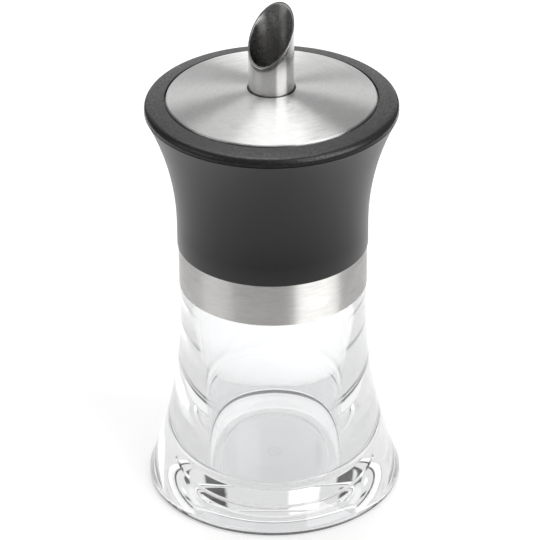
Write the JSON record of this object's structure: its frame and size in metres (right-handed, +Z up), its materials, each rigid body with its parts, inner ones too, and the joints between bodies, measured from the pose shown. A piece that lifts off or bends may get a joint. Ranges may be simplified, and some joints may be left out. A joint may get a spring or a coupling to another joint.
{
  "type": "sugar dispenser",
  "caption": "Tall flared clear jar with a steel band, flared black lid with a domed steel cover and a slant-cut steel pouring spout, for dosing sugar.",
  "frame": {"origin": "centre of the jar's base, on the table", "axes": "+Z up along the jar's axis; +Y away from the side shown, +X to that side's right; the spout's cut faces -X -Y"},
  "size_m": [0.0732, 0.0732, 0.1491],
  "materials": {
    "clear_glass": "clear, polished",
    "brushed_steel": "brushed round the axis",
    "spout_steel": "fine satin, nearly polished",
    "collar_black": "satin black",
    "ring_black": "fine grained black"
  },
  "bodies": {
    "root": {"jar": "clear_glass", "band": "brushed_steel", "collar": "collar_black", "top_ring": "ring_black", "cover": "brushed_steel", "spout": "spout_steel"}
  },
  "joints": []
}
